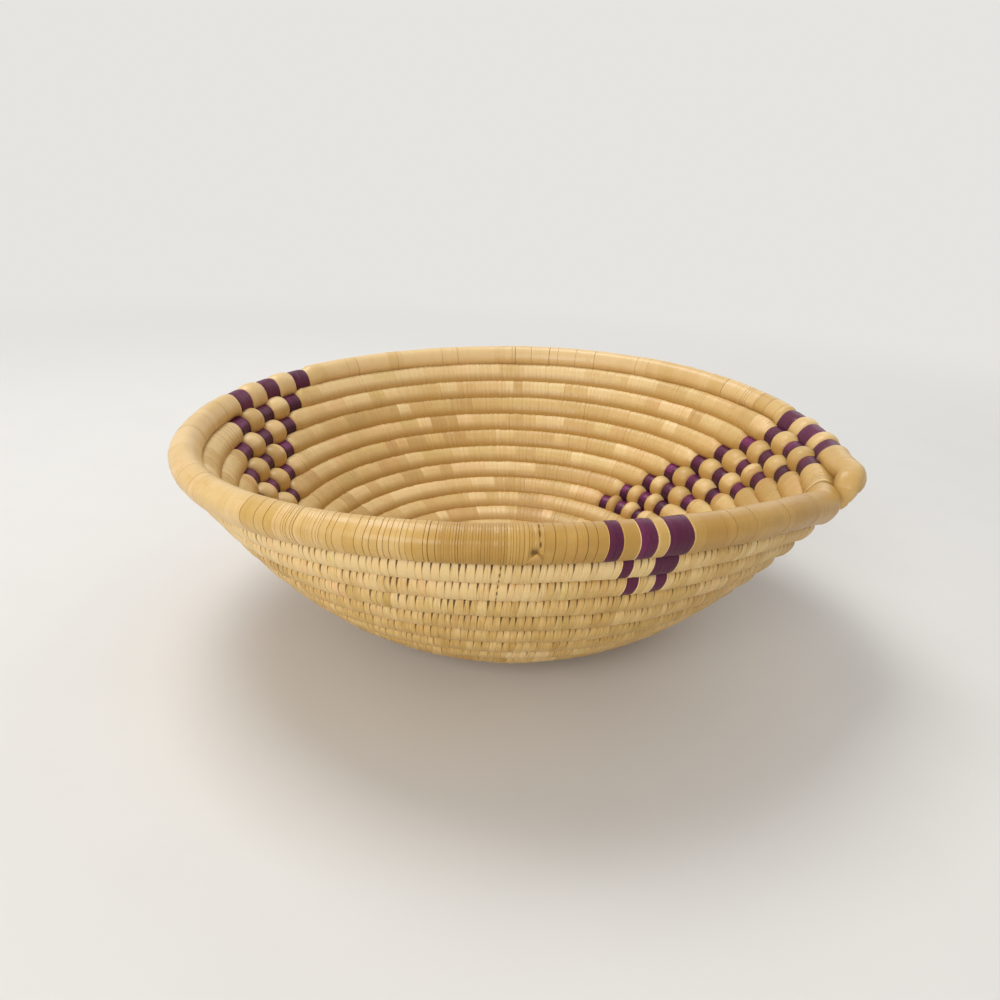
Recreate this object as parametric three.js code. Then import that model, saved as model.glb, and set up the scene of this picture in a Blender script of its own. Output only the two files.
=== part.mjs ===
// Coiled straw basket, in millimetres, +Z up, the origin on the ground under the middle of the foot.
// A bundle of grass bound with straw strips winds in one spiral from a start knot, over a flat foot
// and up a flared wall, to a thicker rim coil. The rim's tail rolls down over its own start and makes
// the one corner of the outline. Dyed strips wrap the coil in three groups, each seated in a neck.
import * as THREE from 'three';

// Driving dimensions: the coil
const ROW_PITCH = 8.71; // from one row to the next, measured along the wall
const ROW_GAP = 0.55; // clear space between two rows
const COIL_THICKNESS = 8.4; // of a row, square to the wall
const RIM_WIDTH = 9.9; // of the rim coil, along the wall
const RIM_THICKNESS = 9.7; // of the rim coil, square to the wall
const WALL_TURNS = 15; // turns of the wall coil
const KNOT_RADIUS = 6.1; // of the start knot where the coil leaves it
const STEPS_PER_TURN = 24;

// Driving dimensions: the profile from the middle of the foot to the rim
const FOOT_RADIUS = 25.9; // where the flat foot begins to rise
const BEND_LENGTH = 108.5; // of the curve between the foot and the straight upper wall
const WALL_SLOPE = 60.4; // of the upper wall, degrees above level
const FOOT_CUT = 0.9; // depth of the flat worn under the foot

// Driving dimensions: the hand-made outline. The wall is steeper or flatter than its mean slope by
// these shares, so that its rim stands higher and further in, or lower and further out.
const LEAN = 0.08; // steeper on one side of the basket
const LEAN_ANGLE = 19;
const SADDLE = 0.035; // steeper at the front and back
const LOBES = 0.0114; // steeper in three places
const LOBE_ANGLE = 43;
const CORNER = 0.1; // flatter at the corner
const CORNER_ANGLE = -29;
const BEFORE_CORNER = 47; // degrees over which the wall flattens towards the corner
const AFTER_CORNER = 12; // degrees over which it steepens again

// Driving dimensions: the rim's start and tail
const START_RUN = 12; // of the rim's start, from its end face to the corner
const TAIL_LENGTH = 9; // of the tail past the corner
const TAIL_END = 0.3; // of the rim's width, left at the tail's end
const CORNER_ROLL = 25; // degrees that the rim has rolled outwards over the row below at the corner
const TAIL_ROLL = 40; // degrees that the tail has rolled at its end
const ROLL_SPAN = 77; // degrees of the last turn that the rim's roll takes
const ROLL_ROOM = 0.6; // extra room that a rolled coil needs over the row below

// Driving dimensions: the dyed wraps
const WRAP_THICKNESS = 0.8;
const SEAT_GAP = 0.35; // between a wrap and the neck and shoulders that it sits on
const STATION_ROOM = 1.1; // least length between a wrap's end and a station of the coil

// Groups of dyed wraps, as the angles of the wraps on the rim and on each row below it. A wrap's
// width is in degrees too. The two large groups run down the wall, and the small one narrows.
const WRAP_WIDTH = 4; // on the rim
const WIDTH_LOSS = 0.12; // for each row down
const RIGHT_GROUP = [
  [8.4, 0.4, -7.1],
  [7.6, -1.4, -9.9],
  [13.1, 4.1, -4.9],
  [19.1, 9.1, 1.1],
  [24.6, 14.6, 5.1],
  [31.6, 22.1, 12.1],
  [37.1, 28.6, 18.6],
  [43.1, 34.6, 26.6],
  [48.6, 41.1, 32.6],
];
const LEFT_GROUP = [0, 1, 2, 3, 4, 5, 6].map((row) => [169, 159.5, 150].map((angle) => angle + 5.1 * row));
const FRONT_GROUP = [
  [-76.7, -72, -66.9],
  [-73.5, -67.3],
  [-71.2, -66.2],
];
const FRONT_WIDTHS = [
  [2.6, 3.4, 4.4],
  [2.3, 4.6],
  [2.6, 2.7],
];

const STRAW = { color: 0xd0ad6b, roughness: 0.6 };
const RIM_STRAW = { color: 0xd6b575, roughness: 0.42 };
const DYED_STRAW = { color: 0x5a2c50, roughness: 0.5 };

// Values worked out from the driving dimensions
const DEGREE = Math.PI / 180;
const COIL_WIDTH = ROW_PITCH - ROW_GAP;
const STEP = 1 / STEPS_PER_TURN;
const FOOT_HEIGHT = COIL_THICKNESS / 2 - FOOT_CUT;
const RIM_SEAT = (COIL_WIDTH + RIM_WIDTH) / 2 + ROW_GAP;
const RIM_ARC = rowArc(WALL_TURNS - 0.5) + RIM_SEAT;
const PROFILE_STEP = 0.5;
const PROFILE_LENGTH = RIM_ARC + 2 * ROW_PITCH;
const SECTION = [[1, 0], [0.5, 1], [-0.5, 1], [-1, 0], [-0.5, -1], [0.5, -1]];
const SAME_TURN = 1e-9; // turns closer than this are one

// Distance of the coil's centre line from the middle of the foot, along the profile
function rowArc(turn) {
  return KNOT_RADIUS + ROW_GAP + COIL_WIDTH / 2 + ROW_PITCH * turn;
}

function turnedBy(angle, from) {
  const turned = (angle - from) % 360;
  return turned > 180 ? turned - 360 : turned < -180 ? turned + 360 : turned;
}

// The wall's slope at an angle round the basket, as a share of the mean slope
function steepness(angle) {
  const lean = LEAN * Math.cos((angle - LEAN_ANGLE) * DEGREE);
  const saddle = SADDLE * Math.cos(2 * angle * DEGREE);
  const lobes = LOBES * Math.cos(3 * (angle - LOBE_ANGLE) * DEGREE);
  const turned = turnedBy(angle, CORNER_ANGLE);
  const corner = CORNER * Math.exp(turned > 0 ? -turned / BEFORE_CORNER : turned / AFTER_CORNER);
  return 1 + lean - saddle + lobes - corner;
}

// The profile of the coil's centre line at an angle, walked outwards in short straight steps. Its
// length is true, so rows lie one pitch apart wherever the wall leans.
function makeProfile(angle) {
  const steepest = WALL_SLOPE * DEGREE * steepness(angle);
  const points = [{ radius: 0, height: FOOT_HEIGHT }];
  for (let arc = PROFILE_STEP / 2; arc < PROFILE_LENGTH; arc += PROFILE_STEP) {
    const bent = Math.min(Math.max(arc - FOOT_RADIUS, 0) / BEND_LENGTH, 1);
    const slope = steepest * Math.sin(bent * Math.PI / 2);
    const last = points.at(-1);
    points.push({
      radius: last.radius + Math.cos(slope) * PROFILE_STEP,
      height: last.height + Math.sin(slope) * PROFILE_STEP,
    });
  }
  return points;
}

const profiles = new Map();

function profileAt(arc, angle) {
  const key = turnedBy(angle, 0).toFixed(6);
  if (!profiles.has(key)) profiles.set(key, makeProfile(angle));
  const profile = profiles.get(key);
  const place = arc / PROFILE_STEP;
  const from = profile[Math.floor(place)];
  const to = profile[Math.floor(place) + 1];
  const share = place - Math.floor(place);
  return {
    radius: from.radius + (to.radius - from.radius) * share,
    height: from.height + (to.height - from.height) * share,
  };
}

// A point of the wall's middle surface
function wallPoint(arc, angle) {
  const { radius, height } = profileAt(arc, angle);
  return new THREE.Vector3(radius * Math.cos(angle * DEGREE), radius * Math.sin(angle * DEGREE), height);
}

// The coil winds clockwise seen from above, and whole turns end at the corner's angle
function angleAt(turn) {
  return CORNER_ANGLE - 360 * turn;
}

function wallUp(arc, angle) {
  return wallPoint(arc + 1, angle).sub(wallPoint(arc - 1, angle)).normalize();
}

// Where the wall coil lies at a turn counted from the knot
function wallPlace(turn) {
  const arc = rowArc(turn);
  return {
    centre: wallPoint(arc, angleAt(turn)),
    up: wallUp(arc, angleAt(turn)),
    width: COIL_WIDTH,
    thickness: COIL_THICKNESS,
  };
}

function smoothShare(value) {
  const share = THREE.MathUtils.clamp(value, 0, 1);
  return share * share * (3 - 2 * share);
}

function outwards(up, turn) {
  const ahead = new THREE.Vector3(Math.sin(angleAt(turn) * DEGREE), -Math.cos(angleAt(turn) * DEGREE), 0);
  return new THREE.Vector3().crossVectors(up, ahead).normalize();
}

// The rim coil is seated on the row below it. Near the end of its turn it rolls outwards, and past
// the corner the row below it is its own start.
function rimPlace(turn) {
  const past = Math.max(0, turn - WALL_TURNS - 1) / TAIL_TURNS;
  const size = 1 - (1 - TAIL_END) * past;
  const below = turn - 1 > JOINT_TURN ? rimRun(turn - 1) : wallPlace(turn - 1);
  const rolled = CORNER_ROLL * smoothShare(1 + (turn - WALL_TURNS - 1) * 360 / ROLL_SPAN);
  const roll = (rolled + (TAIL_ROLL - CORNER_ROLL) * past) * DEGREE;
  const room = (below.width + RIM_WIDTH * size) / 2 + ROW_GAP + ROLL_ROOM * Math.sin(roll);
  const up = below.up.clone().multiplyScalar(Math.cos(roll));
  up.addScaledVector(outwards(below.up, turn), Math.sin(roll)).normalize();
  return {
    centre: below.centre.clone().addScaledVector(up, room),
    up,
    width: RIM_WIDTH * size,
    thickness: RIM_THICKNESS * size,
  };
}

// A place on the rim's straight run between two stations, either side of the corner
function rimRun(turn) {
  const from = WALL_TURNS + Math.floor((turn - WALL_TURNS) / STEP + 1e-6) * STEP;
  const start = rimPlace(from);
  const end = rimPlace(from + STEP);
  const share = (turn - from) / STEP;
  return {
    ...start,
    centre: start.centre.clone().lerp(end.centre, share),
    up: start.up.clone().lerp(end.up, share),
  };
}

// A path is a list of stations with a six-sided ring of the coil at each, mitred to its neighbours
function layPath(turns, place) {
  const stations = turns.map((turn) => ({ turn, ...place(turn) }));
  const rings = stations.map((station, i) => {
    const before = stations[Math.max(i - 1, 0)].centre;
    const after = stations[Math.min(i + 1, stations.length - 1)].centre;
    const arriving = station.centre.clone().sub(before).normalize();
    const leaving = after.clone().sub(station.centre).normalize();
    return ringOf(station, arriving.add(leaving).normalize());
  });
  return { turns, rings };
}

function ringOf(station, along) {
  const up = station.up.clone().addScaledVector(along, -station.up.dot(along)).normalize();
  const out = new THREE.Vector3().crossVectors(along, up);
  const points = SECTION.map(([across, through]) => station.centre.clone()
    .addScaledVector(up, across * station.width / 2)
    .addScaledVector(out, through * station.thickness / 2));
  points.forEach((point) => { point.z = Math.max(point.z, 0); });
  return { centre: station.centre, points };
}

// The ring at any turn of a path: a station's own, or a cut square to the straight run between two
function ringAt(path, turn) {
  const after = path.turns.findIndex((value) => value > turn - SAME_TURN);
  if (Math.abs(path.turns[after] - turn) < SAME_TURN) return path.rings[after];
  const from = path.rings[after - 1];
  const to = path.rings[after];
  const share = (turn - path.turns[after - 1]) / (path.turns[after] - path.turns[after - 1]);
  const centre = from.centre.clone().lerp(to.centre, share);
  const along = to.centre.clone().sub(from.centre).normalize();
  const points = from.points.map((point, k) => {
    const edge = to.points[k].clone().sub(point);
    return point.clone().addScaledVector(edge, centre.clone().sub(point).dot(along) / edge.dot(along));
  });
  return { centre, points };
}

function shrunk(ring, inset, width) {
  const share = 1 - inset / (width / 2);
  return { centre: ring.centre, points: ring.points.map((p) => ring.centre.clone().lerp(p, share)) };
}

function ringsBetween(path, start, end) {
  const inside = path.turns.filter((turn) => turn > start + SAME_TURN && turn < end - SAME_TURN);
  return [start, ...inside, end].map((turn) => ringAt(path, turn));
}

// Rings of a coil from start to end, drawn in to a neck under each wrap
function neckedRings(path, start, end, wraps, width) {
  const rings = [];
  let turn = start;
  for (const wrap of wraps.toSorted((a, b) => a.start - b.start)) {
    const neck = ringsBetween(path, wrap.start, wrap.end);
    rings.push(...ringsBetween(path, turn, wrap.start));
    rings.push(...neck.map((ring) => shrunk(ring, WRAP_THICKNESS + SEAT_GAP, width)));
    turn = wrap.end;
  }
  rings.push(...ringsBetween(path, turn, end));
  return rings;
}

// A closed body through rings of points. A tube has two end caps, and a sleeve's rings close on
// themselves, out along its outside and back along its bore.
function bodyThrough(rings, isSleeve) {
  const sides = SECTION.length;
  const positions = rings.flatMap((ring) => ring.points.flatMap((point) => point.toArray()));
  const faces = [];
  const spans = isSleeve ? rings.length : rings.length - 1;
  for (let i = 0; i < spans; i++) {
    const near = i * sides;
    const far = (i + 1) % rings.length * sides;
    for (let k = 0; k < sides; k++) {
      const next = (k + 1) % sides;
      faces.push(near + k, far + k, far + next, near + k, far + next, near + next);
    }
  }
  if (!isSleeve) {
    const last = (rings.length - 1) * sides;
    for (let k = 1; k < sides - 1; k++) {
      faces.push(0, k, k + 1, last, last + k + 1, last + k);
    }
  }
  if (signedVolume(positions, faces) < 0) faces.reverse();
  const geometry = new THREE.BufferGeometry();
  geometry.setAttribute('position', new THREE.Float32BufferAttribute(positions, 3));
  geometry.setIndex(faces);
  geometry.computeVertexNormals();
  return geometry;
}

function signedVolume(positions, faces) {
  const corner = (i) => new THREE.Vector3().fromArray(positions, faces[i] * 3);
  let volume = 0;
  for (let i = 0; i < faces.length; i += 3) {
    volume += corner(i).dot(corner(i + 1).cross(corner(i + 2))) / 6;
  }
  return volume;
}

// Turn of the row that lies a number of rows below the rim at an angle
function turnAt(angle, row) {
  const past = ((CORNER_ANGLE - angle) % 360 + 360) % 360;
  return WALL_TURNS + past / 360 - row;
}

// Length of one turn of the coil at a turn
function turnLength(turn) {
  return 2 * Math.PI * profileAt(rowArc(turn), angleAt(turn)).radius;
}

// The end of a wrap keeps off the stations, where the coil turns
function offStation(turn) {
  const station = Math.round(turn / STEP) * STEP;
  const room = STATION_ROOM / turnLength(turn);
  if (Math.abs(turn - station) > room) return turn;
  return turn < station ? station - room : station + room;
}

function wrapsOfGroup(side, angles, widths) {
  return angles.flatMap((rowOfAngles, row) => rowOfAngles.map((angle, index) => {
    const width = widths ? widths[row][index] : WRAP_WIDTH - WIDTH_LOSS * row;
    return {
      name: `dyed_wrap_${side}_${row === 0 ? 'rim' : `row_${row}`}_${index + 1}`,
      row,
      start: offStation(turnAt(angle + width / 2, row)),
      end: offStation(turnAt(angle - width / 2, row)),
    };
  }));
}

function makeMesh(name, geometry, finish) {
  const mesh = new THREE.Mesh(geometry, new THREE.MeshStandardMaterial({ ...finish, metalness: 0 }));
  mesh.name = name;
  return mesh;
}

// A wrap is a sleeve flush with the coil, clear of the neck under it and of both shoulders
function makeWrap(wrap, path, width) {
  const clear = SEAT_GAP / turnLength(wrap.start);
  const outside = ringsBetween(path, wrap.start + clear, wrap.end - clear);
  const bore = outside.map((ring) => shrunk(ring, WRAP_THICKNESS, width)).toReversed();
  return makeMesh(wrap.name, bodyThrough([...outside, ...bore], true), DYED_STRAW);
}

// The corners of a ring towards the rim and towards the knot
function upperPoint(ring) {
  return ring.points[0].clone();
}

function lowerPoint(ring) {
  return ring.points[SECTION.length / 2].clone();
}

// The start knot fills the first turn: its flank follows the coil's inner side, and the coil's end
// butts square on its step
function makeKnot(path) {
  const [first, second] = path.rings;
  const along = second.centre.clone().sub(first.centre).normalize();
  const flank = ringsBetween(path, 0, 1).map((ring) => {
    const corner = lowerPoint(ring);
    return corner.addScaledVector(ring.centre.clone().sub(corner).normalize(), -ROW_GAP);
  });
  const stepOuter = upperPoint(first).addScaledVector(along, -ROW_GAP);
  const stepInner = lowerPoint(first).addScaledVector(along, -ROW_GAP);
  const outline = [...flank, stepOuter, stepInner].map((point) => new THREE.Vector2(point.x, point.y));
  const geometry = new THREE.ExtrudeGeometry(new THREE.Shape(outline), {
    depth: COIL_THICKNESS - FOOT_CUT,
    bevelEnabled: false,
  });
  return makeMesh('start_knot', geometry, STRAW);
}

// Points spread over a path's surface, for measuring gaps
function surfacePoints(path, start, end) {
  const samples = [];
  const perTurn = STEPS_PER_TURN * 4;
  for (let i = Math.ceil(start * perTurn); i <= end * perTurn; i++) {
    const turn = i / perTurn;
    const ring = ringAt(path, turn);
    ring.points.forEach((point, k) => {
      const next = ring.points[(k + 1) % ring.points.length];
      [0, 0.25, 0.5, 0.75].forEach((share) => samples.push({ turn, point: point.clone().lerp(next, share) }));
    });
  }
  return samples;
}

// The least distance between points that lie about one turn apart
function leastGap(lower, upper) {
  let least = Infinity;
  let from = 0;
  for (const { turn, point } of upper) {
    while (from < lower.length && lower[from].turn < turn - 1 - STEP / 2) from++;
    for (let i = from; i < lower.length && lower[i].turn <= turn - 1 + STEP / 2; i++) {
      least = Math.min(least, point.distanceTo(lower[i].point));
    }
  }
  return least;
}

function turnRange(start, end) {
  const count = Math.round((end - start) / STEP);
  return Array.from({ length: count + 1 }, (_, i) => start + i * STEP);
}

// Place the two coils. The wall coil's first run and the rim's start and tail lie straight.
const RIM_LENGTH = turnLength(WALL_TURNS);
const TAIL_TURNS = TAIL_LENGTH / RIM_LENGTH;
const JOINT_TURN = WALL_TURNS - START_RUN / RIM_LENGTH;
const JOINT_GAP = ROW_GAP / RIM_LENGTH;
const FIRST_RUN = 3 * STEP;
const TAIL_TURN = WALL_TURNS + 1 + TAIL_TURNS;
const wallPath = layPath([0, ...turnRange(FIRST_RUN, WALL_TURNS)], wallPlace);
const rimTurns = turnRange(WALL_TURNS - STEP, WALL_TURNS + 1 - STEP);
const tailTurns = [WALL_TURNS + 1 - STEP * 0.35, WALL_TURNS + 1 + TAIL_TURNS * 0.6, TAIL_TURN];
const rimPath = layPath([...rimTurns, ...tailTurns], rimPlace);

const wraps = [
  ...wrapsOfGroup('right', RIGHT_GROUP),
  ...wrapsOfGroup('left', LEFT_GROUP),
  ...wrapsOfGroup('front', FRONT_GROUP, FRONT_WIDTHS),
];
const wallWraps = wraps.filter((wrap) => wrap.row > 0);
const rimWraps = wraps.filter((wrap) => wrap.row === 0);
const wallEnd = JOINT_TURN - JOINT_GAP;

const wallRings = neckedRings(wallPath, 0, wallEnd, wallWraps, COIL_WIDTH);
const rimRings = neckedRings(rimPath, JOINT_TURN, TAIL_TURN, rimWraps, RIM_WIDTH);

const basket = new THREE.Group();
basket.add(makeKnot(wallPath));
basket.add(makeMesh('wall_coil', bodyThrough(wallRings), STRAW));
basket.add(makeMesh('rim_coil', bodyThrough(rimRings), RIM_STRAW));
wallWraps.forEach((wrap) => basket.add(makeWrap(wrap, wallPath, COIL_WIDTH)));
rimWraps.forEach((wrap) => basket.add(makeWrap(wrap, rimPath, RIM_WIDTH)));

const wallPoints = surfacePoints(wallPath, 0, wallEnd);
const rimPoints = surfacePoints(rimPath, JOINT_TURN, TAIL_TURN);
const gaps = [leastGap(wallPoints, wallPoints), leastGap(rimPoints, rimPoints), leastGap(wallPoints, rimPoints)];
console.log(`wall coil: ${WALL_TURNS} turns, least gap to itself ${gaps[0].toFixed(2)} mm`);
console.log(`rim coil: least gap to itself ${gaps[1].toFixed(2)} mm, to the wall coil ${gaps[2].toFixed(2)} mm`);

export default basket;
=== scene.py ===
"""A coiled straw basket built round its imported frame, laid out as an add-on with one operator for
each piece or group of like pieces. Sizes are in millimetres until a mesh is made, then in metres."""
import math

import bpy
import numpy as np
from mathutils import Matrix, Vector


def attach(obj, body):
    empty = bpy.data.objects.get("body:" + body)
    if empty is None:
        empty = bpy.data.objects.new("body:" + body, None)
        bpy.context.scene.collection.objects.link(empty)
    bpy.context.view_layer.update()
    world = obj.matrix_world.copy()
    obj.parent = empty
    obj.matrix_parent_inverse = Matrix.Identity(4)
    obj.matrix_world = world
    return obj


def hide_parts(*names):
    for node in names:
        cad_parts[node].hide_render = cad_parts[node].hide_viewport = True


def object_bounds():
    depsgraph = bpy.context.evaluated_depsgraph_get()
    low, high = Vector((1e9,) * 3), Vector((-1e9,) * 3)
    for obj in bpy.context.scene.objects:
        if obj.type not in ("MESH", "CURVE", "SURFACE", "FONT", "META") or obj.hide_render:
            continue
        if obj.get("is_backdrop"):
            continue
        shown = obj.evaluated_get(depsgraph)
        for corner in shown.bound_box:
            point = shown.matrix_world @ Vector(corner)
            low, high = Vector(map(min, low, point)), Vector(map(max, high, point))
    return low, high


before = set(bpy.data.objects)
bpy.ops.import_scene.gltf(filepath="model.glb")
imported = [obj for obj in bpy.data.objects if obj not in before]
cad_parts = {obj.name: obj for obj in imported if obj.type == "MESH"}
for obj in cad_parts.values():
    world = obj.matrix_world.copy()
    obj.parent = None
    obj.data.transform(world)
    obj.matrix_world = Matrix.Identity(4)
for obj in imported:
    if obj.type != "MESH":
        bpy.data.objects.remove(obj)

CAD_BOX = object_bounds()

bl_info = {
    "name": "Coiled straw basket",
    "version": (1, 0, 0),
    "blender": (4, 5, 0),
    "location": "View3D > Sidebar > Basket",
    "description": "Winds and wraps a coiled straw basket on its frame",
    "category": "Object",
}

MM = 0.001
DEGREE = math.pi / 180

# The coil's route, as in the frame: lengths in mm, angles in degrees, and shares of the wall's slope
ROW_PITCH = 8.71
ROW_GAP = 0.55
COIL_WIDTH = ROW_PITCH - ROW_GAP
COIL_THICKNESS = 8.4
GIRTH = math.pi * COIL_THICKNESS
RIM_WIDTH = 9.9
RIM_THICKNESS = 9.7
WALL_TURNS = 15
KNOT_RADIUS = 6.1
STEP = 1 / 24
FOOT_RADIUS = 25.9
BEND_LENGTH = 108.5
WALL_SLOPE = 60.4
FOOT_HEIGHT = COIL_THICKNESS / 2 - 0.9
LEAN = 0.08
LEAN_ANGLE = 19
SADDLE = 0.035
LOBES = 0.0114
LOBE_ANGLE = 43
CORNER = 0.1
CORNER_ANGLE = -29
BEFORE_CORNER = 47
AFTER_CORNER = 12
START_RUN = 12
CORNER_ROLL = 25
ROLL_SPAN = 77
ROLL_ROOM = 0.6
STATION_ROOM = 1.1
FIRST_ARC = KNOT_RADIUS + ROW_GAP + COIL_WIDTH / 2
RIM_ARC = FIRST_ARC + ROW_PITCH * WALL_TURNS
PROFILE_STEP = 0.5
PROFILE_ANGLE = 0.5
PROFILE_LENGTH = 166

# How dense the coils' samples are: to a turn of the wall, in all of the knot and of the rim before
# its tail, and between two stations of the tail
WALL_SAMPLES = 1500
KNOT_SAMPLES = 1200
RIM_SAMPLES = 1500
TAIL_SAMPLES = 24
# How much wider and thicker than in the frame the straw makes a coil, so that its rows touch
WALL_FILL = (0.2, 0.1)
RIM_FILL = 0.1

# The knot's turns before the wall's first, and its row's width and thickness there
KNOT_TURNS = (-2, -1.5, -1, -0.5, 0)
KNOT_WIDTHS = (2.0, 3.1, 4.4, 6.6, ROW_PITCH)
KNOT_THICKNESSES = (5.0, 6.4, COIL_THICKNESS)  # at the first, the middle and the last of them
KNOT_POLE = 0.6  # how near to the spiral's pole its middle comes

# Finer turns of the coil's route than the frame has, in mm and degrees
TUCK = 1.0  # how far the wall is drawn in behind the corner
TUCK_ANGLE = 26
TUCK_SPAN = 18
BEAD_ROLL = 10  # how much further the rim rolls outwards among the beads before the corner
BEAD_ROLL_SPAN = 35
BEAD_ROLL_TURN = WALL_TURNS + 1 - 39 / 360

# The turn at which the rim's end leaves the row below, and how far before it the bend is prepared
TAIL_START = 15.94
TAIL_LEAD = 0.015
# Where the tail goes from there, down over the corner: angle, radius and height of its middle in
# degrees and mm, its share of the rim's width, and how far its top tips up
TAIL_STATIONS = (
    (-12.5, 118.4, 76.6, 0.97, 35), (-17.0, 119.4, 76.8, 0.95, 32), (-20.6, 121.4, 76.9, 0.9, 22),
    (-22.6, 120.4, 74.9, 0.84, 8), (-22.9, 119.6, 70.4, 0.55, 0), (-23.4, 118.6, 67.3, 0.3, 0),
)

# Straw heaped on the end of the wall, where the rim's tail lies on it: its height from length to
# length past the joint in mm, and its angle and span round the section
CORNER_FILL = ((-10, 0), (-4, 2.4), (3, 2.4), (6, 0))
CORNER_FILL_ANGLE = 40
CORNER_FILL_SPAN = 32
# The rim's rounded start: its length and depth, and how much fuller the rim is from there on
DOME_LENGTH = 3.5
DOME_DEPTH = 1.8
START_SWELL = 0.35
START_SWELL_REACH = ((2, 0), (5, 1), (16, 0))

# Angles of the dyed wraps on the rim and on each row below it, as in the frame
WRAP_WIDTH = 4
WIDTH_LOSS = 0.12
RIGHT_GROUP = [
    [8.4, 0.4, -7.1], [7.6, -1.4, -9.9], [13.1, 4.1, -4.9], [19.1, 9.1, 1.1], [24.6, 14.6, 5.1],
    [31.6, 22.1, 12.1], [37.1, 28.6, 18.6], [43.1, 34.6, 26.6], [48.6, 41.1, 32.6],
]
LEFT_GROUP = [[angle + 5.1 * row for angle in (169, 159.5, 150)] for row in range(7)]
FRONT_GROUP = [[-76.7, -72, -66.9], [-73.5, -67.3], [-71.2, -66.2]]
FRONT_WIDTHS = [[2.6, 3.4, 4.4], [2.3, 4.6], [2.6, 2.7]]

# Sides of a row's, the knot's and the rim's section
WALL_SIDES = 24
KNOT_SIDES = 20
RIM_SIDES = 40

# Seeds of the random draws, one for each run of straw
WALL_SEED, KNOT_SEED, RIM_SEED, DYED_SEED = 11, 5, 23, 31

# Widths of strips and other lengths of the straw work in mm, where they aren't a setting
KNOT_STRIP = 1.7
DYED_STRIP = 1.6
TAIL_STRIP = 2.6
JOINT_STRIP = 1.2  # at the end of the wall, which lies under the rim's tail
JOINT_REACH = 6
ROW_GAPS = 0.85  # how far the gaps between the rows' strips open, as a mean share
GAP_RISE = ((7, 0.35), (12.5, 1))  # how that goes up from the foot, from turn to turn
LEAST_GAP = 0.025  # half the width of a closed gap, and its depth
SPLINT_LENGTHS = (5, 18)  # shortest and longest stretch of coil that one splint covers
SWAY = 0.08  # how far the hand-made work wavers, and over what lengths
SWAY_PERIODS = (23.0, 37.0, 61.0, 97.0)

# How the straw lies on the rows and beside the dyed wraps, in mm
INSIDE_LAP = 0.75  # how far the rows press into each other on the inside of the bowl
BEAD_LIMIT = 16  # longest stretch of straw between two dyed wraps that swells into a bead
BEAD_TUCK = 1.6  # how far the ends of a bead are drawn in under the row's surface
BEAD_RINGS = 19
NECK_DEPTH = BEAD_TUCK + 0.2
NECK_CLEARANCE = 0.02
WRAP_CLEARANCE = 0.03
FRONT_WRAP_LAP = 1.1  # how far the straw before a dyed wrap of the front group laps over its edge
SIDE_WRAP_LAP = -0.25  # the same at both edges in the side groups, where the wraps spread instead
FRONT_PINCH = (0.5, 0.05)  # how far along and how deep the straw is drawn in beside a dyed wrap
SIDE_PINCH = (2.6, BEAD_TUCK)
ROUND_FADE = 5  # how far from the dyed wraps the coil goes from round to square
LEAN_FADE = 6  # the same for the lean of the strips
UPRIGHT = 0.85  # how much of its lean a strip loses among the beads
ROW_PALE_EDGE = 0.4  # width of the pale strip that lies along each dyed wrap of the front group
RIM_PALE_EDGE = 0.35

# Where two splints meet on the front of the rim: a dashed slit and a small hole at its foot. Angle,
# half width in mm, from and to which angle round the section, depth in mm, and how dashed it is.
SCARS = ((-86.45, 0.2, -62, 46, 0.45, 0.8), (-87.15, 0.9, 52, 76, 0.5, 0.6))
# The end of a splint that is folded over there: its angle, half sizes in mm and tint: tone, warmth,
# painted gap shade, and ochre crease stain with painted shade
SPLINT_END_ANGLE = -87.2
SPLINT_END = (1.8, 0.8, 0.24)
SPLINT_END_TINT = (0.45, 0.9, 0.0, 0.3)
# Angle and row of the stitched seams below it
SEAMS = ((-91.7, 1), (-92.0, 2))

# How much paler the straw is painted than its mean, by angle: most at the back and at the front left, and
# on the rim least, and darker than its mean, at the front right
ROW_BLEACH = ((0, 0), (50, 0.2), (70, 0.6), (130, 0.6), (200, 0.4), (240, 0.8), (280, 0.7), (290, 0.4),
              (330, -0.15), (360, 0))
BLEACHED_ROWS = 3
RIM_BLEACH = ((0, 0.05), (40, 0.2), (65, 0.5), (140, 0.5), (200, 0.35), (240, 0.2), (256, 0.05),
              (264, -0.45), (288, -0.42), (300, -0.42), (330, -0.42), (345, -0.1), (360, 0.05))

# What the wraps on the front of the rim are like from one angle to the next: mean width in mm, or
# None for the fine ones, its spread, the share with a gap beside them, and how far the gaps open
FRONT_STRAW = (
    (-78, -86.3, 2.45, 0.05, 1, 0.7), (-86.3, -86.6, 0.2, 0, 0, 0), (-86.6, -87.7, 0.4, 0, 0.3, 0.5),
    (-87.7, -89.2, 1.1, 0.2, 1, 0.7), (-89.2, -99.5, None, 0.12, 1, 0.3), (-99.5, -107, 1.6, 0.35, 1, 0.7),
    (-107, -115, 2.4, 0.2, 0.9, 0.6), (-115, -122, 0.8, 0.3, 0.7, 0.5),
)
START_STRAW = (2.0, 8.5, 1.5, 0.25, 1, 0.9)  # the same round the rim's start, from length to length
# How far along the rim the tops of those wraps lean in mm, by the angle clockwise
RIM_LEAN = ((60, 0), (70, 0.1), (74, 0.5), (78, 1.0), (86, 0.9), (90, 0.3), (104, 0.5), (109, 1.6),
            (116, 1.2), (130, 0.2))

# The camera: its place in metres, how far it looks down and leans, and its lens
CAMERA_PLACE = (-0.003297, -0.277284, 0.155086)
CAMERA_DOWN = 21.792
CAMERA_LEAN = 3.357
CAMERA_LENS = 26.568


def colour(hex_code):
    """An sRGB hex colour as the linear values that the shader takes"""
    channels = [int(hex_code[i:i + 2], 16) / 255 for i in (1, 3, 5)]
    return [c / 12.92 if c <= 0.04045 else ((c + 0.055) / 1.055) ** 2.4 for c in channels]


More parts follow.
